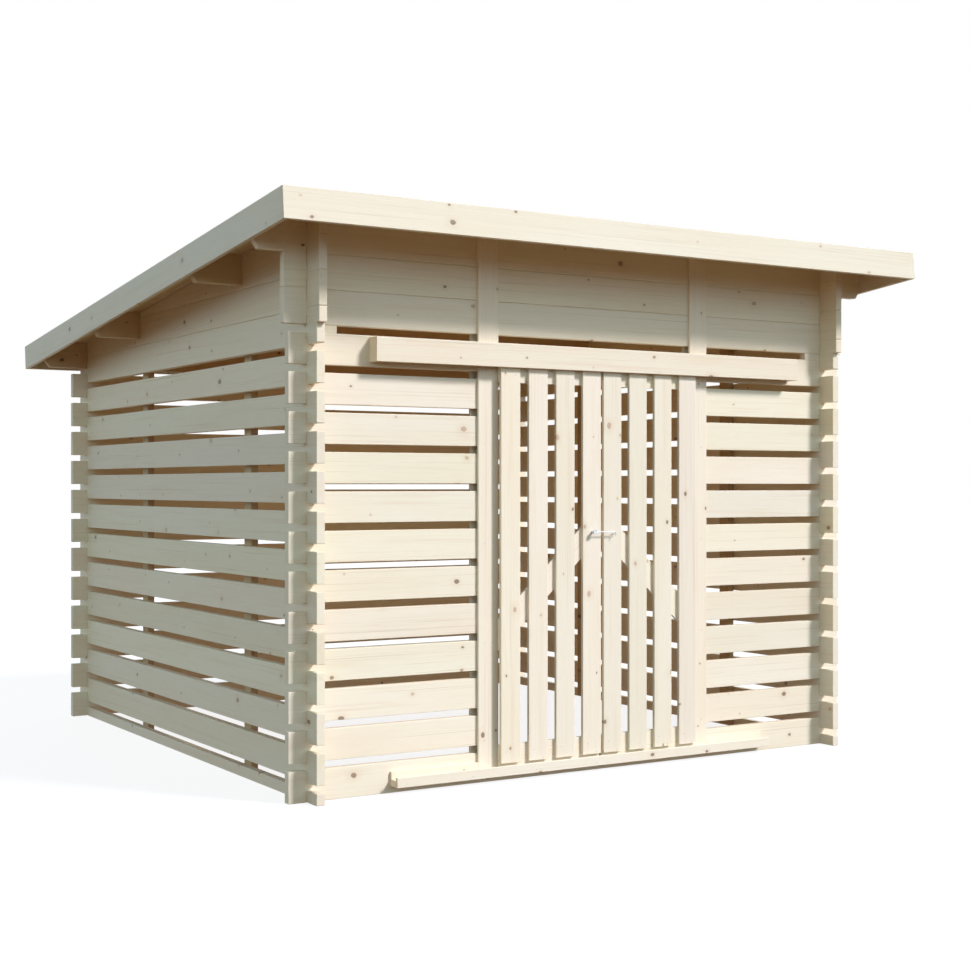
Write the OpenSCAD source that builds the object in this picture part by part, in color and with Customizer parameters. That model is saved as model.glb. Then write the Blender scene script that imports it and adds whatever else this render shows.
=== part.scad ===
// Log store with slatted walls, a mono-pitch roof and two sliding doors.
// Millimetres. +X runs to the right, +Y to the back, +Z up.
// Origin: bottom centre of the whole store, under its roof's outline.

/* [Walls] */
// Outer width of the log walls
wall_w = 2640; // [1900:10:3600]
// Outer depth of the log walls
wall_d = 2690; // [2200:10:3600]
// Thickness of every wall log
log_t = 34; // [28:1:45]
// Height of one slatted log
log_h = 120; // [100:1:145]
// Open gap between slatted logs
log_gap = 30; // [15:1:45]
// Slatted logs in the front and back walls
log_rows = 12; // [8:1:14]
// Height of one close-fitting log
solid_h = 135; // [120:1:165]
// Height of the front purlin log
front_purlin_h = 130; // [110:1:160]
// How far slatted front and back logs run past the side walls
front_tail = 75; // [50:1:100]
// How far slatted side logs run past the front and back walls
side_tail = 86; // [60:1:110]
// How much longer the tails of close-fitting logs are
solid_tail_extra = 20; // [0:1:40]
// Length of the filler blocks under the lowest close-fitting front log
spacer_len = 92; // [40:1:150]

/* [Roof] */
// Fall of the roof to the back, in degrees
roof_slope = 5.7; // [3:0.1:8]
// Roof overhang past the side walls
roof_side = 241; // [180:1:320]
// Roof overhang past the front wall, along the slope
roof_front = 316.5; // [240:0.5:400]
// Roof overhang past the back wall, along the slope
roof_back = 260; // [180:1:340]
// Thickness of the roof boards
deck_t = 19; // [15:1:28]
// Height of the fascia boards
fascia_h = 120; // [90:1:150]
// Thickness of the fascia boards
fascia_t = 18; // [14:1:25]
// Width of a middle purlin
purlin_w = 45; // [35:1:60]
// Height of a middle purlin
purlin_h = 123; // [100:1:145]
// Length of the slanting cut under each purlin end
purlin_cut = 28; // [0:1:80]
// Height of the slanting cut under each purlin end
purlin_cut_h = 40; // [0:1:80]
// Front middle purlin, its centre behind the front wall's face
purlin_y1 = 640; // [450:5:800]
// Rear middle purlin, its centre behind the front wall's face
purlin_y2 = 1870; // [1500:5:2100]

/* [Battens] */
// Width of the upright battens inside the side walls
batten_w = 70; // [45:1:95]
// Thickness of the upright battens
batten_t = 32; // [18:1:45]
// Height of the battens' feet above the ground
batten_lift = 10; // [5:1:40]

/* [Doorway] */
// Clear width of the doorway
door_w = 984; // [760:2:1180]
// Doorway's centre, to the right of the wall's centre
door_shift = 16; // [-40:1:40]
// Thickness of the upright web in each door post
post_web = 20; // [14:1:30]
// Width of the outer post board
post_out_w = 95; // [70:1:120]
// Width of the inner post board
post_in_w = 105; // [80:1:130]
// Thickness of the post boards
post_t = 12; // [9:1:16]

/* [Rail and cover] */
// Underside of the bottom rail above the ground
rail_z = 27; // [15:1:45]
// Height of the rail's front lip
lip_h = 40; // [30:1:60]
// Thickness of the rail's floor board
rail_floor = 27; // [14:1:32]
// Thickness of the rail's lip
lip_t = 12; // [9:1:16]
// Height of the strip behind the rail
rail_back_h = 57; // [45:1:80]
// Rail's reach to the left of the doorway's centre
rail_left = 982; // [900:1:1050]
// Rail's reach to the right of the doorway's centre
rail_right = 904; // [860:1:1050]
// Half the length of the door cover
cover_half = 1072; // [1000:1:1150]
// Height of the door cover
cover_h = 96; // [80:1:120]
// Thickness of the cover's boards
cover_t = 14; // [10:1:20]
// Open height from the lintel's foot to the cover's foot
cover_rise = 17; // [5:1:30]

/* [Doors] */
// Slats in each door leaf
slat_n = 4; // [3:1:5]
// Width of a door slat
slat_w = 92; // [75:1:105]
// Thickness of a door slat
slat_t = 15; // [12:1:20]
// Thickness of the ledges and braces
ledge_t = 13; // [10:1:18]
// Height of the ledges and width of the braces
ledge_h = 95; // [75:1:110]
// Gap between the two closed leaves
seam = 14; // [6:1:20]
// How far each closed leaf covers its post
leaf_lap = 8; // [4:1:20]
// How far the slats reach up behind the cover, above the lintel's foot
slat_rise = 53; // [30:1:60]
// Gap between the rail's lip and the slats' feet
slat_clear = 8; // [5:1:20]
// Slope of the braces, in degrees
brace_angle = 42; // [35:1:48]
// How far the braces' middles lie below the middle of the slats
brace_drop = 76; // [0:1:150]
// Running gap between a leaf and the boards beside it
leaf_gap = 5; // [3:0.5:8]

/* [Hook] */
// Height of the hook above the ground
hook_z = 999; // [900:1:1100]
// Diameter of the hook's wire
hook_d = 4; // [3:0.5:6]
// Outer diameter of the hook's loop and of the screw eye
loop_d = 20; // [16:1:26]
// Length of the hook's bent tip
hook_tip = 16; // [12:1:24]

/* [Hidden] */
eps = 1;
seat = 0.3;
pitch = log_h + log_gap;
half = pitch / 2;
side_rows = log_rows - 1;
zf = log_rows * pitch;
zs = zf - half;
front_h = zf + 2 * solid_h + front_purlin_h;
notch = (log_h - half) / 2;
x_mid = wall_w / 2 + door_shift;
in_x = wall_w - log_t;
in_y = wall_d - log_t;
tan_s = tan(roof_slope);
back_top = front_h - in_y * tan_s;
back_split = round(zs + solid_h + back_top) / 2;

// Roof outline in its own tilted frame, outer faces
roof_y0 = -roof_front;
roof_y1 = wall_d / cos(roof_slope) + roof_back;
y_lo = roof_y0 * cos(roof_slope) + (deck_t - fascia_h) * sin(roof_slope);
y_hi = roof_y1 * cos(roof_slope) + deck_t * sin(roof_slope);
origin = [wall_w / 2, (y_lo + y_hi) / 2, 0];

purlin_end = roof_side - fascia_t;
deck_under = deck_t - fascia_h;

// Doors: the leaves stand between the cover, the lip and the posts
post_x = door_w / 2;
leaf_w = post_x + leaf_lap - seam / 2;
slat_pitch = (leaf_w - slat_w) / (slat_n - 1);
ledge_y = -post_t - leaf_gap - ledge_t;
slat_y = ledge_y - slat_t;
lip_y = slat_y - leaf_gap - lip_t;
cover_y = slat_y - leaf_gap - cover_t;
track_z = rail_z + rail_floor;
lintel_z = (log_rows - 1) * pitch;
cover_z = lintel_z + cover_rise;
ledge_lo = track_z + seat;
slat_top = lintel_z + slat_rise;
slat_foot = rail_z + lip_h + slat_clear;
brace_z = (slat_foot + slat_top) / 2 - brace_drop;

// Hook: it turns on a headed pin in the left leaf
hook_off = 21;
pin_x = seam / 2 + slat_w / 2;
hook_gap = 1;
eye_r = (loop_d - hook_d) / 2;

wood = [0.93, 0.87, 0.76];
wood_b = [0.90, 0.83, 0.70];
wood_c = [0.95, 0.90, 0.80];
metal = [0.72, 0.73, 0.74];

// ---- helpers -------------------------------------------------------------

// Walls are laid out from the left front corner of the log walls
module place() translate(-origin) children();

// Everything above the underside of the roof boards
module above_roof()
  translate([-1000, 0, front_h]) rotate([-roof_slope, 0, 0])
    translate([0, -1000, 0]) cube([wall_w + 2000, wall_d + 2400, 900]);

module box(x0, x1, y0, y1, z0, z1)
  translate([x0, y0, z0]) cube([x1 - x0, y1 - y0, z1 - z0]);

// Corner notches of a log along X, in both side walls: keeps k0 to k1
module notch_x(y, z0, z1, k0, k1)
  for (x = [0, in_x]) {
    if (k0 > z0) box(x, x + log_t, y - eps, y + log_t + eps, z0 - eps, k0);
    if (k1 < z1) box(x, x + log_t, y - eps, y + log_t + eps, k1, z1 + eps);
  }

// Corner notches of a log along Y, in the front and back walls
module notch_y(x, z0, z1, k0, k1)
  for (y = [0, in_y]) {
    if (k0 > z0) box(x - eps, x + log_t + eps, y, y + log_t, z0 - eps, k0);
    if (k1 < z1) box(x - eps, x + log_t + eps, y, y + log_t, k1, z1 + eps);
  }

// A whole slatted log along X: row k of the front or back wall
module slat_log_x(y, k) {
  z0 = k * pitch;
  z1 = z0 + log_h;
  difference() {
    box(-front_tail, wall_w + front_tail, y, y + log_t, z0, z1);
    notch_x(y, z0, z1, z0 + notch, z1 - notch);
  }
}

// A slatted log along Y: row k of a side wall, half a pitch higher
module slat_log_y(x, k) {
  z0 = half + k * pitch;
  z1 = z0 + log_h;
  difference() {
    box(x, x + log_t, -side_tail, wall_d + side_tail, z0, z1);
    notch_y(x, z0, z1, z0 + notch, z1 - notch);
  }
}

// Close-fitting log i of the front wall, counted from 1
module front_solid(i) {
  z0 = zf + (i - 1) * solid_h;
  z1 = z0 + solid_h;
  t = front_tail + solid_tail_extra;
  difference() {
    box(-t, wall_w + t, 0, log_t, z0, z1);
    notch_x(0, z0, z1, z0 + (solid_h - half) / 2, z1 - half / 2);
  }
}

// Close-fitting log i of a side wall, cut to the roof and round the purlins;
// the fourth ends at the front middle purlin
module side_solid(x, i) {
  z0 = zs + (i - 1) * solid_h;
  z1 = z0 + solid_h;
  t = side_tail + solid_tail_extra;
  difference() {
    box(x, x + log_t, -t, i == 4 ? purlin_y1 : wall_d + t, z0, z1);
    if (i == 1) tail_step(x, z0, t);
    corner_front(x, z0, z1, i);
    corner_back(x, z0, z1, i);
    above_roof();
    middle_purlin(purlin_y1, false);
    middle_purlin(purlin_y2, false);
  }
}

// The lowest close-fitting side log has short tails up to the front's level
module tail_step(x, z0, t)
  for (y = [-t - eps, wall_d + side_tail])
    box(x - eps, x + log_t + eps, y, y + t - side_tail + eps, z0 - eps, zf);

// Front corner of a close-fitting side log: what the front logs don't take
module corner_front(x, z0, z1, i) {
  lo = i == 1 ? z0 + notch : i == 4 ? z0 + (front_h - z0) / 2 : z0 + half / 2;
  hi = i == 4 ? z1 : z1 - (solid_h - half) / 2;
  box(x - eps, x + log_t + eps, 0, log_t, z0 - eps, lo);
  if (hi < z1) box(x - eps, x + log_t + eps, 0, log_t, hi, z1 + eps);
}

// Back corner: the back wall has one close-fitting log, its purlin
module corner_back(x, z0, z1, i) {
  lo = i == 1 ? z0 + notch : back_split;
  hi = i == 1 ? z1 - (solid_h - half) / 2 : z1;
  if (i < 3) box(x - eps, x + log_t + eps, in_y, wall_d, z0 - eps, lo);
  if (hi < z1) box(x - eps, x + log_t + eps, in_y, wall_d, hi, z1 + eps);
}

// A purlin along X with both ends cut back underneath
module purlin_bar(y0, y1, z0, z1) {
  end = wall_w + purlin_end;
  cut_z = z0 + purlin_cut_h;
  translate([0, y1, 0]) rotate([90, 0, 0]) linear_extrude(y1 - y0)
    polygon([
      [-purlin_end, z1], [-purlin_end, cut_z], [purlin_cut - purlin_end, z0],
      [end - purlin_cut, z0], [end, cut_z], [end, z1]
    ]);
}

// A middle purlin at yc; its top follows the roof
module middle_purlin(yc, trim = true) {
  z1 = front_h - yc * tan_s;
  difference() {
    purlin_bar(yc - purlin_w / 2, yc + purlin_w / 2, z1 - purlin_h,
      z1 + 20);
    if (trim) above_roof();
  }
}

module batten(x, yc) {
  z1 = front_h - yc * tan_s - purlin_h;
  box(x, x + batten_t, yc - batten_w / 2, yc + batten_w / 2, batten_lift, z1);
}

// Roof frame: tilted about the top of the front wall's face
module roof_frame()
  translate([0, 0, front_h]) rotate([-roof_slope, 0, 0]) children();

// ---- front wall ----------------------------------------------------------

module front_sill_log() color(wood) place() slat_log_x(0, 0);

module front_lintel_log() color(wood) place() slat_log_x(0, log_rows - 1);

// Part rows at one side of the doorway; side -1 is left
module front_part_slats(side)
  for (k = [1:log_rows - 2])
    intersection() {
      slat_log_x(0, k);
      if (side < 0)
        box(-400, x_mid - post_x - post_web, -eps, log_t + eps, 0, front_h);
      else
        box(x_mid + post_x + post_web, wall_w + 400, -eps, log_t + eps, 0,
          front_h);
    }

module front_left_slats() color(wood_b) place() front_part_slats(-1);

module front_right_slats() color(wood_b) place() front_part_slats(1);

module front_spacer_blocks() color(wood_c) place()
  for (x = [log_t, in_x - spacer_len])
    box(x, x + spacer_len, 0, log_t, zf - log_gap, zf);

module front_top_log_1() color(wood) place() front_solid(1);

module front_top_log_2() color(wood_b) place() front_solid(2);

module front_purlin() color(wood) place() {
  z0 = zf + 2 * solid_h;
  lo = z0 + (solid_h - half) / 2;
  hi = front_h - (front_h - (zs + 3 * solid_h)) / 2;
  difference() {
    purlin_bar(0, log_t, z0, front_h + 20);
    above_roof();
    notch_x(0, z0, front_h + 20, lo, hi);
  }
}

// ---- side walls ----------------------------------------------------------

module side_sill(x)
  difference() {
    box(x, x + log_t, -side_tail, wall_d + side_tail, 0, half - log_gap);
    notch_y(x, 0, half - log_gap, 0, notch);
  }

module side_rows_part(x, k0, k1)
  for (k = [k0:k1]) slat_log_y(x, k);

side_split = floor(side_rows / 2);

module left_sill_log() color(wood) place() side_sill(0);

module left_slats_lower() color(wood_b) place()
  side_rows_part(0, 0, side_split - 1);

module left_slats_upper() color(wood) place()
  side_rows_part(0, side_split, side_rows - 1);

module left_top_log_1() color(wood_b) place() side_solid(0, 1);

module left_top_log_2() color(wood) place() side_solid(0, 2);

module left_top_log_3() color(wood_b) place() side_solid(0, 3);

module left_top_log_4() color(wood) place() side_solid(0, 4);

module right_sill_log() color(wood) place() side_sill(in_x);

module right_slats_lower() color(wood_b) place()
  side_rows_part(in_x, 0, side_split - 1);

module right_slats_upper() color(wood) place()
  side_rows_part(in_x, side_split, side_rows - 1);

module right_top_log_1() color(wood_b) place() side_solid(in_x, 1);

module right_top_log_2() color(wood) place() side_solid(in_x, 2);

module right_top_log_3() color(wood_b) place() side_solid(in_x, 3);

module right_top_log_4() color(wood) place() side_solid(in_x, 4);

module left_battens() color(wood_c) place()
  for (y = [purlin_y1, purlin_y2]) batten(log_t, y);

module right_battens() color(wood_c) place()
  for (y = [purlin_y1, purlin_y2]) batten(in_x - batten_t, y);

// ---- back wall -----------------------------------------------------------

module back_slats_lower() color(wood_b) place()
  for (k = [0:floor(log_rows / 2) - 1]) slat_log_x(in_y, k);

module back_slats_upper() color(wood) place()
  for (k = [floor(log_rows / 2):log_rows - 1]) slat_log_x(in_y, k);

// The top log of the back wall, long enough to carry the roof's edges
module back_purlin() color(wood) place() {
  top = back_top + 20;
  lo = zf + (solid_h - half) / 2;
  difference() {
    purlin_bar(in_y, wall_d, zf, top);
    above_roof();
    notch_x(in_y, zf, top, lo, back_split);
  }
}

// ---- roof ----------------------------------------------------------------

module middle_purlin_front() color(wood_b) place() middle_purlin(purlin_y1);

module middle_purlin_rear() color(wood_b) place() middle_purlin(purlin_y2);

module roof_deck() color(wood_c) place() roof_frame()
  box(-purlin_end, wall_w + purlin_end, roof_y0 + fascia_t,
    roof_y1 - fascia_t, 0, deck_t);

module fascia_front() color(wood) place() roof_frame()
  box(-roof_side, wall_w + roof_side, roof_y0, roof_y0 + fascia_t,
    deck_under, deck_t);

module fascia_back() color(wood) place() roof_frame()
  box(-roof_side, wall_w + roof_side, roof_y1 - fascia_t, roof_y1,
    deck_under, deck_t);

module side_fascia(x) color(wood_b) place() roof_frame()
  box(x, x + fascia_t, roof_y0 + fascia_t, roof_y1 - fascia_t, deck_under,
    deck_t);

module fascia_left() side_fascia(-roof_side);

module fascia_right() side_fascia(wall_w + roof_side - fascia_t);

// ---- doorway -------------------------------------------------------------

// One box on each side of the doorway's centre, from a to b beside it
module both_sides(a, b, y0, y1, z0, z1) translate([x_mid, 0, 0]) {
  box(-b, -a, y0, y1, z0, z1);
  box(a, b, y0, y1, z0, z1);
}

// Boards in front of the logs, standing in the rail
module post_outer_boards() color(wood_c) place() difference() {
  both_sides(post_x, post_x + post_out_w, -post_t, 0, track_z,
    front_h + 20);
  above_roof();
}

// Webs between the sill and the lintel; the slats end against them
module post_webs() color(wood_b) place()
  both_sides(post_x, post_x + post_web, 0, log_t, log_h, lintel_z);

// Boards behind the logs
module post_inner_boards() color(wood_c) place() difference() {
  both_sides(post_x, post_x + post_in_w, log_t, log_t + post_t, rail_z,
    front_h + 20);
  above_roof();
}

// Box over the top of the doors, open underneath
module cover_front() color(wood) place() translate([x_mid, 0, 0])
  box(-cover_half, cover_half, cover_y, cover_y + cover_t, cover_z,
    cover_z + cover_h);

// Its top board is notched round the posts
module cover_top() color(wood_c) place() translate([x_mid, 0, 0]) {
  z1 = cover_z + cover_h;
  difference() {
    box(-cover_half, cover_half, cover_y + cover_t, 0, z1 - cover_t, z1);
    for (s = [-1, 1]) {
      a = s * post_x;
      b = s * (post_x + post_out_w);
      box(min(a, b), max(a, b), -post_t, eps, cover_z, z1 + eps);
    }
  }
}

module cover_ends() color(wood_c) place()
  both_sides(cover_half - cover_t, cover_half, cover_y + cover_t, 0,
    cover_z, cover_z + cover_h - cover_t);

// Channel that the doors stand in, with strips against the wall
module rail_floor_board() color(wood) place() translate([x_mid, 0, 0])
  box(-rail_left, rail_right, lip_y + lip_t, 0, rail_z, track_z);

module rail_lip() color(wood_c) place() translate([x_mid, 0, 0])
  box(-rail_left, rail_right, lip_y, lip_y + lip_t, rail_z,
    rail_z + lip_h);

module rail_strips() color(wood_c) place() translate([x_mid, 0, 0]) {
  out = post_x + post_out_w;
  box(-rail_left, -out, -post_t, 0, track_z, rail_z + rail_back_h);
  box(out, rail_right, -post_t, 0, track_z, rail_z + rail_back_h);
}

// ---- door leaves ---------------------------------------------------------

// A leaf spans seam/2 to seam/2 + leaf_w beside the doorway's centre
module leaf_frame(side) place() translate([x_mid, 0, 0])
  scale([side, 1, 1]) translate([seam / 2, 0, 0]) children();

module leaf_slats(side) color(wood) leaf_frame(side)
  for (i = [0:slat_n - 1])
    box(i * slat_pitch, i * slat_pitch + slat_w, slat_y, ledge_y, slat_foot,
      slat_top);

module leaf_ledges(side) color(wood_c) leaf_frame(side) {
  box(0, leaf_w, ledge_y, ledge_y + ledge_t, slat_top - ledge_h, slat_top);
  box(0, leaf_w, ledge_y, ledge_y + ledge_t, ledge_lo, ledge_lo + ledge_h);
}

// The brace rises towards the seam, cut plumb at both edges of the leaf
module leaf_brace(side) color(wood_b) leaf_frame(side)
  translate([0, ledge_y + ledge_t, 0]) rotate([90, 0, 0])
    linear_extrude(ledge_t) intersection() {
      square([leaf_w, slat_top]);
      translate([leaf_w / 2, brace_z]) rotate(-brace_angle)
        square([3 * leaf_w, ledge_h], center = true);
    }

module left_leaf_slats() leaf_slats(-1);

module left_leaf_ledges() leaf_ledges(-1);

module left_leaf_brace() leaf_brace(-1);

module right_leaf_slats() leaf_slats(1);

module right_leaf_ledges() leaf_ledges(1);

module right_leaf_brace() leaf_brace(1);

// ---- hook ----------------------------------------------------------------

// A rod along Y
module rod_y(r, y0, y1)
  translate([0, y1, 0]) rotate([90, 0, 0]) cylinder(r = r, h = y1 - y0,
    $fn = 32);

// A headed pin in the left leaf, which carries the hook's loop
module hook_pin() color(metal) place()
  translate([x_mid - pin_x, slat_y, hook_z]) {
    rod_y(eye_r - hook_d / 2 - hook_gap, -hook_off - hook_d / 2 - hook_gap,
      0);
    rod_y(loop_d / 2, -hook_off - hook_d / 2 - hook_gap - 2,
      -hook_off - hook_d / 2 - hook_gap);
  }

// The hook: a loop, a straight wire and a tip bent down before the eye
module hook() color(metal) place()
  translate([x_mid - pin_x, slat_y - hook_off, hook_z]) {
    rotate([90, 0, 0]) rotate_extrude($fn = 48) translate([eye_r, 0])
      circle(d = hook_d, $fn = 16);
    translate([eye_r, 0, 0]) rotate([0, 90, 0])
      cylinder(d = hook_d, h = 2 * pin_x - eye_r, $fn = 16);
    translate([2 * pin_x, 0, -hook_tip]) cylinder(d = hook_d, h = hook_tip,
      $fn = 16);
    translate([2 * pin_x, 0, 0]) sphere(d = hook_d, $fn = 16);
  }

// Screw eye in the right leaf
module hook_eye() color(metal) place()
  translate([x_mid + pin_x, slat_y, hook_z - hook_tip / 2]) {
    rod_y(hook_d / 2, -4, 0);
    translate([0, -2 - eye_r, 0]) rotate_extrude($fn = 48)
      translate([eye_r - 1.5, 0]) circle(d = hook_d - 1, $fn = 16);
  }

front_sill_log();
front_left_slats();
front_right_slats();
front_lintel_log();
front_spacer_blocks();
front_top_log_1();
front_top_log_2();
front_purlin();
left_sill_log();
left_slats_lower();
left_slats_upper();
left_top_log_1();
left_top_log_2();
left_top_log_3();
left_top_log_4();
right_sill_log();
right_slats_lower();
right_slats_upper();
right_top_log_1();
right_top_log_2();
right_top_log_3();
right_top_log_4();
back_slats_lower();
back_slats_upper();
back_purlin();
middle_purlin_front();
middle_purlin_rear();
left_battens();
right_battens();
roof_deck();
fascia_front();
fascia_back();
fascia_left();
fascia_right();
post_outer_boards();
post_webs();
post_inner_boards();
cover_front();
cover_top();
cover_ends();
rail_floor_board();
rail_lip();
rail_strips();
left_leaf_slats();
left_leaf_ledges();
left_leaf_brace();
right_leaf_slats();
right_leaf_ledges();
right_leaf_brace();
hook_pin();
hook();
hook_eye();
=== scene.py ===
import math

import bmesh
import bpy
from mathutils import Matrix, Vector


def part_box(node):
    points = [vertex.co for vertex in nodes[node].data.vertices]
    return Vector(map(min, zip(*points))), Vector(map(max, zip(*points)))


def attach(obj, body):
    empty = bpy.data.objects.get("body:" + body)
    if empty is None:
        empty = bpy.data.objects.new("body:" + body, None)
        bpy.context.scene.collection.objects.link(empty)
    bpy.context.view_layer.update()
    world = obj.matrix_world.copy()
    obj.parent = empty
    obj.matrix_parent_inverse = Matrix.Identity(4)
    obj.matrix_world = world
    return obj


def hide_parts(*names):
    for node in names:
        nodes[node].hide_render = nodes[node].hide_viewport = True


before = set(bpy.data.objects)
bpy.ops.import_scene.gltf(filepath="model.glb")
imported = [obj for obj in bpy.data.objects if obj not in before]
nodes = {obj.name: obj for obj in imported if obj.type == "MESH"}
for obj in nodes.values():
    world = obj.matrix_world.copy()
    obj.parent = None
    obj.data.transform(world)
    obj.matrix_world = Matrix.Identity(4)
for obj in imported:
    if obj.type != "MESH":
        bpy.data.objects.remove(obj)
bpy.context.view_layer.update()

scene = bpy.context.scene

# ---- sizes that the frame's boxes don't give, in metres
ROW = 0.150                       # pitch of the log rows
SLOPE = math.radians(5.7)         # fall of the roof to the back
BRACE = math.radians(42.0)        # rise of the door braces
SLAT_PITCH = 0.133667             # pitch of the door slats
SLAT_W = 0.092                    # width of a door slat
LEAF_SLATS = 4
LEDGE_H = 0.095                   # height of a leaf's ledges
DOOR_X = 0.016                    # middle of the doorway
ROOF_BOARDS = 32
DECK_T = 0.019                    # thickness of the roof boards
WIDE = 4.0                        # a pitch that tells only the two sides apart


# ------------------------------------------------------------------ nodes
class Tree:
    """Short calls for making shader nodes and linking them."""

    def __init__(self, tree):
        self.t = tree

    def new(self, kind, ins=(), **props):
        node = self.t.nodes.new(kind)
        for key, value in props.items():
            setattr(node, key, value)
        for key, value in (ins.items() if isinstance(ins, dict) else enumerate(ins)):
            if value is not None:
                self.feed(node.inputs[key], value)
        return node

    def feed(self, socket, value):
        if isinstance(value, bpy.types.NodeSocket):
            self.t.links.new(value, socket)
        else:
            socket.default_value = value

    def math(self, op, a, b=None, c=None, clamp=False):
        return self.new("ShaderNodeMath", [a, b, c], operation=op, use_clamp=clamp).outputs[0]

    def add(self, a, b):
        return self.math("ADD", a, b)

    def sub(self, a, b, clamp=False):
        return self.math("SUBTRACT", a, b, clamp=clamp)

    def mul(self, a, b):
        return self.math("MULTIPLY", a, b)

    def div(self, a, b):
        return self.math("DIVIDE", a, b)

    def fit(self, a, scale, start):
        return self.math("MULTIPLY_ADD", a, scale, start)

    def length(self, a, b):
        return self.math("SQRT", self.add(self.mul(a, a), self.mul(b, b)))

    def vec(self, op, a, b):
        return self.new("ShaderNodeVectorMath", [a, b], operation=op).outputs["Vector"]

    def xyz(self, x=0.0, y=0.0, z=0.0):
        return self.new("ShaderNodeCombineXYZ", [x, y, z]).outputs[0]

    def split(self, v):
        return self.new("ShaderNodeSeparateXYZ", [v]).outputs

    def noise(self, v, scale=1.0, detail=2.0, rough=0.5):
        return self.new("ShaderNodeTexNoise", {
            "Vector": v, "Scale": scale, "Detail": detail, "Roughness": rough}).outputs["Fac"]

    def grain(self, place, along, across, detail, rough=0.5, shift=None):
        """Noise drawn out along the board."""
        u, v, w = place
        v = self.mul(v, across) if shift is None else self.fit(v, across, shift)
        return self.noise(self.xyz(self.mul(u, along), v, self.mul(w, across)), 1.0, detail, rough)

    def white(self, v):
        return self.new("ShaderNodeTexWhiteNoise", {"Vector": v},
                        noise_dimensions="3D").outputs

    def ramp(self, x, lo, hi, out_lo=0.0, out_hi=1.0):
        return self.new("ShaderNodeMapRange", [x, lo, hi, out_lo, out_hi],
                        interpolation_type="SMOOTHSTEP", clamp=True).outputs[0]

    def mix(self, fac, a, b, mode="MIX"):
        node = self.new("ShaderNodeMix", data_type="RGBA", blend_type=mode)
        for key, value in ((0, fac), (6, a), (7, b)):
            self.feed(node.inputs[key], value)
        return node.outputs[2]


def rgb(r, g, b):
    return (r, g, b, 1.0)


def material(name):
    mat = bpy.data.materials.new(name)
    mat.use_nodes = True
    mat.node_tree.nodes.clear()
    return mat, Tree(mat.node_tree)


# ------------------------------------------------------------------ spruce
PALE, WARM = rgb(0.822, 0.728, 0.556), rgb(0.806, 0.692, 0.500)
PINK, STRAW = rgb(0.816, 0.705, 0.538), rgb(0.814, 0.731, 0.538)
LATE_WOOD = rgb(0.69, 0.50, 0.305)
STREAK = rgb(0.74, 0.585, 0.395)
FIBRE = rgb(0.60, 0.44, 0.27)
HAIR = rgb(0.52, 0.38, 0.23)
END_GRAIN = rgb(0.66, 0.50, 0.33)
KNOT_HALO = rgb(0.68, 0.50, 0.31)
KNOT_LIVE, KNOT_DEAD = rgb(0.56, 0.38, 0.23), rgb(0.15, 0.08, 0.04)
KNOT_RING = rgb(0.50, 0.31, 0.17)
KNOT_RIM = rgb(0.20, 0.11, 0.06)
KNOTS_ALONG, KNOTS_ACROSS = 3.3, 9.5        # knot cells to a metre
KNOT_LONG = 1.35                            # knots are this much longer than wide


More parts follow.
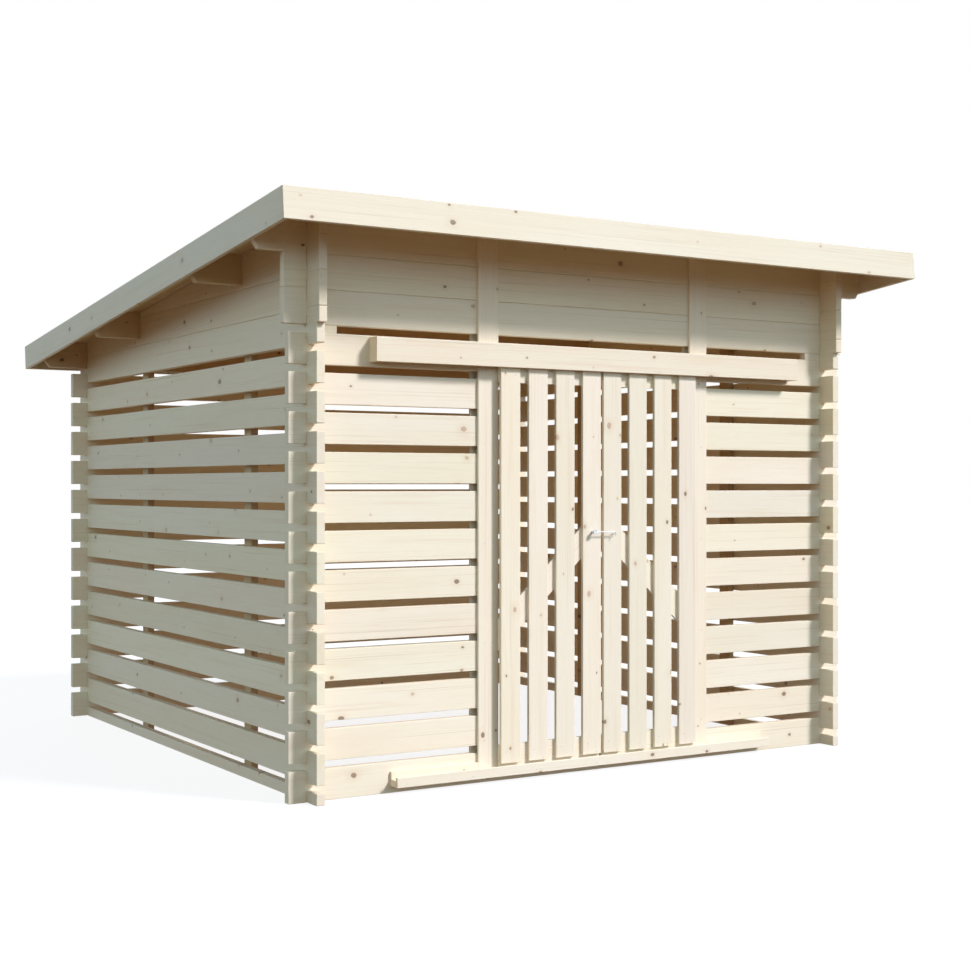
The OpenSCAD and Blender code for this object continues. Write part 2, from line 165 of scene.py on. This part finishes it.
def spruce_group():
    """Planed spruce: rings round a pith line of each board's own, fibres,
    knots with the grain flowing round them, and the boards' own tints.
    Place runs along, across and through the board. Board tells boards apart."""
    group = bpy.data.node_groups.new("spruce", "ShaderNodeTree")
    for name, way, kind in (("Place", "INPUT", "Vector"), ("Board", "INPUT", "Vector"),
                            ("End", "INPUT", "Float"), ("Color", "OUTPUT", "Color"),
                            ("Roughness", "OUTPUT", "Float"), ("Height", "OUTPUT", "Float")):
        group.interface.new_socket(name, in_out=way, socket_type="NodeSocket" + kind)
    t = Tree(group)
    given = t.new("NodeGroupInput").outputs
    board, end = given["Board"], given["End"]
    u, v, w = t.split(given["Place"])
    ra, rb, rc = t.split(t.white(board)["Color"])
    rd, re, rf = t.split(t.white(t.vec("ADD", board, (7.3, 1.9, 4.1)))["Color"])
    u = t.add(u, t.mul(ra, 37.0))

    # knots: one in some of the cells of a stretched Voronoi
    cell = t.xyz(t.mul(u, KNOTS_ALONG), t.add(t.mul(v, KNOTS_ACROSS), t.mul(rb, 19.0)))
    knots = t.new("ShaderNodeTexVoronoi", {"Vector": cell, "Scale": 1.0, "Randomness": 0.9},
                  voronoi_dimensions="2D", feature="F1").outputs
    off = t.split(t.vec("SUBTRACT", cell, knots["Position"]))
    away = t.length(t.div(off[0], KNOTS_ALONG * KNOT_LONG), t.div(off[1], KNOTS_ACROSS))
    wobble = t.noise(t.xyz(t.mul(u, 60.0), t.mul(v, 60.0), w), 1.0, 2.0)
    away = t.mul(away, t.fit(wobble, 0.7, 0.65))
    chance, big, age = t.split(knots["Color"])
    there = t.mul(t.ramp(chance, 0.44, 0.46), t.sub(1.0, end))
    size = t.fit(t.math("POWER", big, 2.0), 0.0075, 0.0026)
    rel = t.div(away, size)
    knot = t.mul(t.ramp(rel, 0.80, 1.10, 1.0, 0.0), there)
    rim = t.mul(there, t.mul(t.ramp(rel, 0.55, 0.95), t.ramp(rel, 0.95, 1.35, 1.0, 0.0)))
    halo = t.mul(there, t.ramp(rel, 1.0, 4.2, 1.0, 0.0))

    # growth rings round a wandering pith line, pushed aside by the knots
    wander_v = t.noise(t.xyz(t.mul(u, 0.5), rb, rc), 1.0, 1.0)
    wander_w = t.noise(t.xyz(t.mul(u, 1.3), rc, rd), 1.0, 1.0)
    pith_v = t.add(t.fit(rc, 0.26, -0.13), t.fit(wander_v, 0.04, -0.02))
    pith_w = t.add(t.fit(rd, 0.05, 0.012), t.fit(wander_w, 0.020, -0.010))
    from_v = t.sub(v, pith_v)
    warp = t.noise(t.xyz(t.mul(u, 0.7), t.mul(v, 9.0), t.mul(w, 14.0)), 1.0, 3.0, 0.55)
    radius = t.add(t.length(from_v, t.add(w, pith_w)), t.fit(warp, 0.004, -0.002))
    radius = t.add(radius, t.mul(halo, t.mul(size, 1.1)))
    years = t.div(radius, t.fit(re, 0.0022, 0.0026))
    ring = t.math("FRACT", years)
    late = t.mul(t.ramp(ring, 0.25, 0.90), t.ramp(ring, 0.92, 1.0, 1.0, 0.0))
    year = t.white(t.xyz(t.math("FLOOR", years), ra, rb))["Value"]
    late = t.mul(late, t.fit(year, 0.75, 0.35))
    # rings that the face cuts flat are wide and faint
    steep = t.div(t.math("ABSOLUTE", from_v), radius)
    late = t.mul(late, t.ramp(steep, 0.15, 0.75, 0.10, 1.0))

    # fibres, streaks, hair lines and broad clouds along the grain
    place = (u, v, w)
    fibre = t.grain(place, 14.0, 520.0, 3.0, 0.6)
    streak = t.grain(place, 1.6, 46.0, 3.0, 0.55, rf)
    cloud = t.grain(place, 1.3, 7.0, 2.0, shift=rb)
    hair = t.grain(place, 0.9, 165.0, 2.0, 0.6, ra)

    col = t.mix(t.ramp(cloud, 0.30, 0.72), PALE, WARM)
    col = t.mix(t.mul(rf, 0.55), col, t.mix(re, PINK, STRAW))
    col = t.mix(t.mul(late, t.fit(rd, 0.26, 0.22)), col, LATE_WOOD)
    col = t.mix(t.ramp(streak, 0.52, 0.78, 0.0, 0.50), col, STREAK)
    col = t.mix(t.ramp(fibre, 0.35, 0.80, 0.0, 0.16), col, FIBRE)
    col = t.mix(t.ramp(hair, 0.60, 0.75, 0.0, 0.42), col, HAIR)
    col = t.mix(t.mul(end, 0.10), col, END_GRAIN)
    col = t.mix(t.mul(halo, 0.26), col, KNOT_HALO)
    core = t.mix(t.ramp(age, 0.15, 0.65), KNOT_LIVE, KNOT_DEAD)
    core = t.mix(t.mul(t.math("FRACT", t.mul(rel, 2.7)), 0.3), core, KNOT_RING)
    col = t.mix(t.mul(knot, 0.85), col, core)
    col = t.mix(t.mul(rim, t.ramp(age, 0.2, 0.9, 0.10, 0.50)), col, KNOT_RIM)
    # each board a shade of its own
    tone = t.fit(rb, 0.075, 0.945)
    shade = t.xyz(tone, t.fit(ra, 0.03, t.sub(tone, 0.015)), t.fit(rc, 0.07, t.sub(tone, 0.045)))
    col = t.vec("MULTIPLY", col, shade)

    rough = t.add(t.fit(fibre, 0.16, 0.50), t.mul(late, -0.08))
    rough = t.add(rough, t.mul(end, 0.16))
    rough = t.sub(rough, t.mul(knot, 0.14), clamp=True)
    high = t.add(t.mul(late, 0.45), t.mul(fibre, 0.75))
    high = t.add(high, t.mul(knot, 0.5))
    high = t.sub(high, t.mul(rim, 0.9))
    t.new("NodeGroupOutput", {"Color": col, "Roughness": rough, "Height": high})
    return group


SPRUCE = spruce_group()
# where a board's length, width and thickness lie among x, y and z
GRAIN = {"X": (0, 2, 1), "Y": (1, 2, 0), "Z": (2, 0, 1), "R": (1, 0, 2)}


def wood(name, axis, seed, pitch_axis=None, pitch=1.0, origin=0.0, turn=None, gloss=0.5,
         tint=None):
    """A spruce material whose grain runs along axis, once turn has levelled
    it. Boards of one node are told apart by steps of pitch along pitch_axis."""
    mat, t = material(name)
    coords = t.new("ShaderNodeTexCoord").outputs
    place, normal = coords["Object"], coords["Normal"]
    if turn:
        place, normal = (t.new("ShaderNodeVectorRotate", {"Vector": v, "Angle": turn[1]},
                               rotation_type=turn[0]).outputs[0] for v in (place, normal))
    p, facing = t.split(place), t.split(normal)
    along, across, thick = GRAIN[axis]
    v = p[across]
    if pitch_axis is None:
        board = t.xyz(seed * 1.37, seed * 0.71, 3.1)
    else:
        k = "XYZ".index(pitch_axis)
        step = t.div(t.sub(p[k], origin), pitch)
        row = t.math("FLOOR", step)
        board = t.xyz(t.fit(row, 1.913, seed * 1.37), seed * 0.71, t.mul(row, 0.377))
        if k == across:
            v = t.mul(t.sub(t.math("FRACT", step), 0.4), pitch)
    spruce = t.new("ShaderNodeGroup")
    spruce.node_tree = SPRUCE
    t.feed(spruce.inputs["Place"], t.xyz(p[along], v, p[thick]))
    t.feed(spruce.inputs["Board"], board)
    t.feed(spruce.inputs["End"], t.ramp(t.math("ABSOLUTE", facing[along]), 0.55, 0.85))
    color = spruce.outputs["Color"]
    # tint multiplies the colour: the fascias' own tone, and painted shade for the webs, battens,
    # purlins and roof boards.
    if tint:
        color = t.mix(1.0, color, rgb(*tint), mode="MULTIPLY")
    bump = t.new("ShaderNodeBump", {"Strength": 0.45, "Distance": 0.0005,
                                    "Height": spruce.outputs["Height"]})
    shader = t.new("ShaderNodeBsdfPrincipled", {
        "Base Color": color, "Roughness": spruce.outputs["Roughness"],
        "Normal": bump.outputs[0], "IOR": 1.45, "Specular IOR Level": gloss})
    t.new("ShaderNodeOutputMaterial", [shader.outputs[0]])
    return mat


def zinc():
    """Zinc-plated wire: dull patches and a little spangle."""
    mat, t = material("zinc_plated_steel")
    place = t.new("ShaderNodeTexCoord").outputs["Object"]
    patch = t.noise(place, 140.0, 3.0, 0.6)
    spangle = t.new("ShaderNodeTexVoronoi", {"Vector": place, "Scale": 420.0}).outputs["Color"]
    flake = t.split(spangle)[0]
    grey = t.mix(t.ramp(patch, 0.3, 0.75), rgb(0.66, 0.66, 0.65), rgb(0.50, 0.50, 0.49))
    grey = t.mix(0.08, grey, t.xyz(flake, flake, flake))
    bump = t.new("ShaderNodeBump", {"Strength": 0.25, "Distance": 0.0001, "Height": patch})
    shader = t.new("ShaderNodeBsdfPrincipled", {
        "Base Color": grey, "Metallic": 1.0, "Roughness": t.fit(patch, 0.25, 0.40),
        "Normal": bump.outputs[0]})
    t.new("ShaderNodeOutputMaterial", [shader.outputs[0]])
    return mat


ZINC = zinc()

# ------------------------------------------------------------------ CAD nodes
LEAF_X = {side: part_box(side + "_leaf_slats")[0].x - (SLAT_PITCH - SLAT_W) / 2
          for side in ("left", "right")}
DULL = 0.2                                  # gloss of the timbers under the roof
FASCIA_TINT = (0.94, 0.965, 0.975)
# Painted shade: the post webs seen at the ends of the wall gaps are darkened and browned for the
# shade they stand in.
WEB_PAINTED_SHADE = (0.62, 0.50, 0.38)
# Painted shade: the battens seen through the side wall gaps are darkened and browned for the shade
# they stand in.
BATTEN_PAINTED_SHADE = (0.66, 0.54, 0.42)
# Painted shade: the purlins under the roof are darkened and browned for the shade they stand in.
PURLIN_PAINTED_SHADE = (0.78, 0.66, 0.52)
# Painted shade: the roof boards are darker all over, for the shade on their undersides and to tone
# down their sunlit tops.
DECK_PAINTED_SHADE = (0.86, 0.80, 0.72)


def recipe(name):
    """Grain axis, tint and how the boards of a node are told apart. The tint of the webs, battens
    and purlins is painted shade.
    """
    sides = dict(pitch_axis="X", pitch=WIDE, origin=DOOR_X)
    side_wall = name.startswith(("left_", "right_"))
    if "leaf_slats" in name:
        return dict(axis="Z", pitch_axis="X", pitch=SLAT_PITCH, origin=LEAF_X[name.split("_")[0]])
    if "ledges" in name:
        return dict(axis="X", pitch_axis="Z", pitch=0.7)
    if "brace" in name:
        return dict(axis="X", turn=("Y_AXIS", BRACE if name.startswith("left") else -BRACE))
    if name in ("fascia_left", "fascia_right"):
        return dict(axis="Y", turn=("X_AXIS", SLOPE), tint=FASCIA_TINT)
    if name.startswith("fascia"):
        return dict(axis="X", tint=FASCIA_TINT)
    # The webs' colour is darkened by painted shade.
    if name == "post_webs":
        return dict(axis="Z", gloss=DULL, tint=WEB_PAINTED_SHADE, **sides)
    if name.startswith("post_") or name == "cover_ends":
        return dict(axis="Z", **sides)
    if name == "rail_strips":
        return dict(axis="X", **sides)
    # The battens' colour is darkened by painted shade.
    if name.endswith("battens"):
        return dict(axis="Z", pitch_axis="Y", pitch=0.4, origin=-2.0, gloss=DULL,
                    tint=BATTEN_PAINTED_SHADE)
    if "slats" in name:
        return dict(axis="Y" if side_wall else "X", pitch_axis="Z", pitch=ROW,
                    origin=ROW / 2 if side_wall else 0.0)
    if side_wall:
        return dict(axis="Y")
    if name == "front_spacer_blocks":
        return dict(axis="X", pitch_axis="X", pitch=WIDE)
    # The colour of every purlin but the front one is darkened by painted shade.
    if "purlin" in name and name != "front_purlin":
        return dict(axis="X", gloss=DULL, tint=PURLIN_PAINTED_SHADE)
    return dict(axis="X")


WIRE = ("hook", "hook_pin", "hook_eye")
LOG_EDGE, BOARD_EDGE = 0.0038, 0.0018       # how far the timbers' edges are eased
for i, (name, node) in enumerate(sorted(nodes.items())):
    node.data.materials.clear()
    if name in WIRE:
        node.data.materials.append(ZINC)
        continue
    node.data.materials.append(wood("wood_" + name, seed=i + 1.0, **recipe(name)))
    weld = node.modifiers.new("weld", "WELD")
    weld.merge_threshold = 0.00005
    bevel = node.modifiers.new("bevel", "BEVEL")
    bevel.width = LOG_EDGE if "top_log" in name or name == "front_purlin" else BOARD_EDGE
    bevel.segments = 2
    bevel.limit_method = "ANGLE"
    bevel.angle_limit = math.radians(32)
    bevel.use_clamp_overlap = True


# ------------------------------------------------------------------ pieces
def piece(name, bm, mat, body):
    mesh = bpy.data.meshes.new(name)
    bmesh.ops.recalc_face_normals(bm, faces=bm.faces)
    bm.to_mesh(mesh)
    bm.free()
    mesh.materials.append(mat)
    obj = bpy.data.objects.new(name, mesh)
    scene.collection.objects.link(obj)
    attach(obj, body)
    return obj


def extrude_profile(bm, outline, place):
    """A closed outline of points (a, b) swept between the two ends that place gives."""
    ends = [[bm.verts.new(place(a, b, end)) for a, b in outline] for end in (0, 1)]
    count = len(outline)
    bm.faces.new(ends[0])
    bm.faces.new(ends[1][::-1])
    for k in range(count):
        after = (k + 1) % count
        bm.faces.new((ends[0][k], ends[0][after], ends[1][after], ends[1][k]))


# Roof boards from front to back, with V joints seen from below
GAP, VEE, EASE = 0.0004, 0.004, 0.0012      # half a joint, its V and the eased top edge
END_SLACK = 0.0003                          # the boards stop this short of the deck's ends
cos_s, sin_s = math.cos(SLOPE), math.sin(SLOPE)
deck_lo, deck_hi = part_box("roof_deck")
board_w = (deck_hi.x - deck_lo.x) / ROOF_BOARDS
roof_len = (deck_hi.y - deck_lo.y - DECK_T * sin_s) / cos_s


def on_roof(across, up, end):
    down = END_SLACK + end * (roof_len - 2 * END_SLACK)
    return (across, deck_lo.y + down * cos_s + up * sin_s,
            deck_hi.z - DECK_T * cos_s - down * sin_s + up * cos_s)


bm = bmesh.new()
for k in range(ROOF_BOARDS):
    x0 = deck_lo.x + k * board_w + GAP
    x1 = deck_lo.x + (k + 1) * board_w - GAP
    extrude_profile(bm, [
        (x0 + VEE, 0), (x1 - VEE, 0), (x1, VEE), (x1, DECK_T - EASE),
        (x1 - EASE, DECK_T), (x0 + EASE, DECK_T), (x0, DECK_T - EASE), (x0, VEE)], on_roof)
# The roof boards' colour is darkened by painted shade.
deck_mat = wood("wood_roof_boards", "R", 91.0, "X", board_w, deck_lo.x,
                turn=("X_AXIS", SLOPE), gloss=0.08, tint=DECK_PAINTED_SHADE)
deck = piece("roof_boards", bm, deck_mat, "store")
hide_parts("roof_deck")

# Screw heads: low domes with a six-lobed socket. Each ring is a share of the
# radius, a height over the wood, and whether it is lobed.
SIDES = 18
HEAD = ((0.55, -0.0020, False), (1.0, -0.0001, False), (0.93, 0.00035, False),
        (0.50, 0.0006, False), (0.44, 0.0005, True), (0.40, -0.0006, True))
SCREW_R, NAIL_R = 0.0030, 0.0028


def screw(bm, at, out, radius=SCREW_R):
    axis = Vector(out).normalized()
    side = axis.orthogonal().normalized()
    up = axis.cross(side)
    loops = []
    for share, height, lobed in HEAD:
        loop = []
        for k in range(SIDES):
            a = 2 * math.pi * k / SIDES
            r = radius * share * (0.86 + 0.14 * math.cos(6 * a) if lobed else 1.0)
            loop.append(bm.verts.new(Vector(at) + axis * height
                                     + side * r * math.cos(a) + up * r * math.sin(a)))
        loops.append(loop)
    for near, far in zip(loops, loops[1:]):
        for k in range(SIDES):
            after = (k + 1) % SIDES
            bm.faces.new((near[k], near[after], far[after], far[k]))
    bm.faces.new(loops[0][::-1])
    bm.faces.new(loops[-1])


def screw_row(bm, board, count, inset, z):
    """Screws along the front of a level board."""
    lo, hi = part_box(board)
    for k in range(count):
        screw(bm, (lo.x + inset + k * (hi.x - lo.x - 2 * inset) / (count - 1), lo.y, z), FRONT)


FRONT = (0, -1, 0)
for side in ("left", "right"):
    slats_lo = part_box(side + "_leaf_slats")[0]
    ledge_lo, ledge_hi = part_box(side + "_leaf_ledges")
    bm = bmesh.new()
    for k in range(LEAF_SLATS):
        x = slats_lo.x + SLAT_W / 2 + k * SLAT_PITCH
        for z in (ledge_lo.z + LEDGE_H / 2, ledge_hi.z - LEDGE_H / 2):
            for dx, dz in ((-0.022, 0.018), (0.022, -0.018)):
                screw(bm, (x + dx, slats_lo.y, z + dz), FRONT)
    piece(side + "_leaf_screws", bm, ZINC, side + "_leaf")

bm = bmesh.new()
screw_row(bm, "cover_front", 8, 0.03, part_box("cover_front")[1].z - 0.007)
screw_row(bm, "rail_lip", 7, 0.04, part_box("rail_lip")[0].z + 0.013)
post_lo, post_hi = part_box("post_outer_boards")
for x in (post_lo.x + 0.030, post_lo.x + 0.068, post_hi.x - 0.030, post_hi.x - 0.068):
    for z in (0.17, 0.56, 0.96, 1.36, 1.98, 2.12):
        screw(bm, (x, post_lo.y, z), FRONT)
for side, inward in (("left", 1), ("right", -1)):
    lo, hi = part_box(side + "_battens")
    face = hi.x if inward > 0 else lo.x
    for y in (lo.y + 0.035, hi.y - 0.035):
        for k in range(12):
            screw(bm, (face, y, 0.135 + k * ROW), (inward, 0, 0))
piece("frame_screws", bm, ZINC, "store")

# Nails through the roof boards into the purlins, a little out of line
bm = bmesh.new()
top_y = deck_lo.y + DECK_T * sin_s
for beam in ("front_purlin", "middle_purlin_front", "middle_purlin_rear", "back_purlin"):
    lo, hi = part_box(beam)
    for k in range(ROOF_BOARDS):
        for share in (0.27, 0.73):
            y = (lo.y + hi.y) / 2 + 0.004 * math.sin(5.1 * k + 9.0 * share)
            screw(bm, (deck_lo.x + (k + share) * board_w, y,
                       deck_hi.z - (y - top_y) * sin_s / cos_s), (0, sin_s, cos_s), NAIL_R)
piece("roof_nails", bm, ZINC, "store")

# ------------------------------------------------------------------ stage
FLOOR_R, FLOOR_SIDES = 60, 48
bm = bmesh.new()
turns = [2 * math.pi * k / FLOOR_SIDES for k in range(FLOOR_SIDES)]
bm.faces.new([bm.verts.new((FLOOR_R * math.cos(a), FLOOR_R * math.sin(a), 0)) for a in turns])
floor_mesh = bpy.data.meshes.new("floor")
bm.to_mesh(floor_mesh)
bm.free()
floor = bpy.data.objects.new("floor", floor_mesh)
scene.collection.objects.link(floor)
floor_mat, t = material("pale_floor")
floor_at = t.new("ShaderNodeTexCoord").outputs["Object"]
tint = t.mix(t.ramp(t.noise(floor_at, 1.7, 3.0), 0.3, 0.7),
             rgb(0.13, 0.13, 0.13), rgb(0.14, 0.14, 0.14))
shader = t.new("ShaderNodeBsdfPrincipled", {
    "Base Color": tint, "Roughness": 0.9, "Specular IOR Level": 0.1,
    "Emission Color": rgb(1, 1, 1), "Emission Strength": 0.88})
t.new("ShaderNodeOutputMaterial", [shader.outputs[0]])
floor_mesh.materials.append(floor_mat)
floor.visible_diffuse = False

# Sky: dim at the horizon, bright low down, darker overhead, brown below the
# horizon. The camera sees plain white in its place.
HORIZON, BAND = rgb(0.24, 0.22, 0.18), rgb(1.04, 1.42, 1.70)
OVERHEAD, BELOW = rgb(0.11, 0.13, 0.14), rgb(0.140, 0.068, 0.016)
world = bpy.data.worlds.new("sky")
scene.world = world
world.use_nodes = True
world.node_tree.nodes.clear()
t = Tree(world.node_tree)
height = t.split(t.new("ShaderNodeTexCoord").outputs["Generated"])[2]
sky = t.mix(t.ramp(height, 0.0, 0.18), HORIZON, BAND)
sky = t.mix(t.ramp(height, 0.38, 0.66), sky, OVERHEAD)
sky = t.mix(t.ramp(height, -0.03, 0.03), BELOW, sky)
seen = t.new("ShaderNodeLightPath").outputs["Is Camera Ray"]
background = t.new("ShaderNodeBackground", {"Color": t.mix(seen, sky, rgb(1, 1, 1))})
t.new("ShaderNodeOutputWorld", [background.outputs[0]])


def stand(name, data, location=(0, 0, 0), looks=None):
    """Puts a lamp or the camera in the scene, looking along a direction."""
    obj = bpy.data.objects.new(name, data)
    obj.location = location
    if looks:
        obj.rotation_euler = Vector(looks).to_track_quat("-Z", "Y").to_euler()
    scene.collection.objects.link(obj)
    return obj


sun = bpy.data.lights.new("sun", "SUN")
sun.energy = 3.9
sun.color = (1.0, 1.0, 1.14)
sun.angle = math.radians(11.0)
stand("sun", sun, looks=(-0.468, 0.600, -0.648))

# Light that has bounced about inside until it has taken the wood's colour
inside = bpy.data.lights.new("inside", "POINT")
inside.energy = 4.2
inside.color = (1.0, 0.62, 0.24)
inside.shadow_soft_size = 0.45
stand("inside", inside, (0.1, 0.2, 1.0))

camera = bpy.data.cameras.new("camera")
camera.lens = 58.65
camera.sensor_width = 36.0
camera.clip_end = 200.0
scene.camera = stand("camera", camera, (-3.8716, -6.7284, 1.1925), (0.5248, 0.8512, 0.0))
scene.view_settings.view_transform = "Standard"
